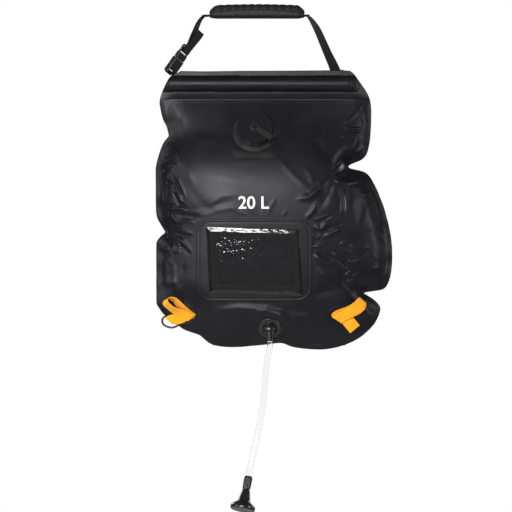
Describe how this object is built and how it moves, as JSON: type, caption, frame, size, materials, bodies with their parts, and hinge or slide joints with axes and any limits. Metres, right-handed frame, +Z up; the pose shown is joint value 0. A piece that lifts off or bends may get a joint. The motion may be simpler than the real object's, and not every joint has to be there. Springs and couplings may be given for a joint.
{
  "type": "camp shower bag",
  "caption": "Hanging camp shower bag with a padded grip, buckled strap, screw filler cap, mesh pocket, corner loops and a clear hose to a pull-open shower head.",
  "frame": {"origin": "the hang point: the middle of the flat underside of the grip", "axes": "+X along the grip to the right as the front is seen, +Y to the back of the bag, +Z up"},
  "size_m": [0.4116, 0.121, 0.889],
  "materials": {
    "black_pvc": "coated sheet with a soft sheen",
    "black_plastic": "moulded, semi-gloss",
    "grip_rubber": "matt",
    "black_webbing": "woven",
    "orange_webbing": "woven",
    "black_rubber": "matt",
    "clear_pvc": "clear",
    "binding_cloth": "woven",
    "net_cloth": "knotted net"
  },
  "bodies": {
    "handle": {"grip_top": "grip_rubber", "grip_base": "grip_rubber", "strap_main": "black_webbing", "strap_adjust": "black_webbing", "anchor_strap": "black_webbing", "buckle_socket": "black_plastic", "buckle_plug": "black_plastic"},
    "latch_left": {"latch_arm_left": "black_plastic"},
    "latch_right": {"latch_arm_right": "black_plastic"},
    "bag": {"top_tube": "black_plastic", "front_sheet": "black_pvc", "back_sheet": "black_pvc", "filler_neck": "black_plastic", "outlet_base": "black_plastic", "outlet_seal": "black_rubber", "outlet_elbow": "black_plastic", "window_patch": "black_pvc", "window_film": "clear_pvc", "mesh_pocket": "net_cloth", "pocket_binding": "binding_cloth", "corner_patch_left": "black_pvc", "corner_patch_right": "black_pvc", "corner_loop_left": "orange_webbing", "corner_loop_right": "orange_webbing", "hose": "clear_pvc", "head_collar": "black_plastic", "head_seal": "black_rubber"},
    "leash": {"cap_leash": "black_rubber"},
    "cap": {"filler_cap": "black_plastic", "cap_seal": "black_rubber", "cap_stud": "black_plastic"},
    "shower_head": {"head_bell": "black_plastic", "rose_plate": "black_plastic"}
  },
  "joints": [
    {"name": "bag_swing", "type": "hinge", "parent": "handle", "child": "bag", "pos_m": [0, 0, -0.116], "axis": [1, 0, 0], "range_deg": [-5, 85]},
    {"name": "latch_left_squeeze", "type": "hinge", "parent": "handle", "child": "latch_left", "pos_m": [-0.14149, 0.01022, -0.06717], "axis": [0.6947, -0.5299, -0.4864], "range_deg": [0, 11], "stiffness_Nm_per_rad": 0.05},
    {"name": "latch_right_squeeze", "type": "hinge", "parent": "handle", "child": "latch_right", "pos_m": [-0.13455, 0.02378, -0.07204], "axis": [-0.6947, 0.5299, 0.4864], "range_deg": [0, 11], "stiffness_Nm_per_rad": 0.05},
    {"name": "cap_turn", "type": "hinge", "parent": "leash", "child": "cap", "pos_m": [-0.004, -0.02604, -0.20325], "axis": [0, -0.9063, 0.4226], "range_deg": [0, 720]},
    {"name": "cap_lift", "type": "slide", "parent": "bag", "child": "leash", "axis": [0, -0.9063, 0.4226], "range_m": [0, 0.0101], "deforming": ["cap_leash"]},
    {"name": "head_pull", "type": "slide", "parent": "bag", "child": "shower_head", "axis": [-0.1793, -0.342, -0.9224], "range_m": [0, 0.006]}
  ],
  "couplings": [
    {"joint": "cap_lift", "follows": "cap_turn", "m_per_rad": 0.00079577}
  ]
}
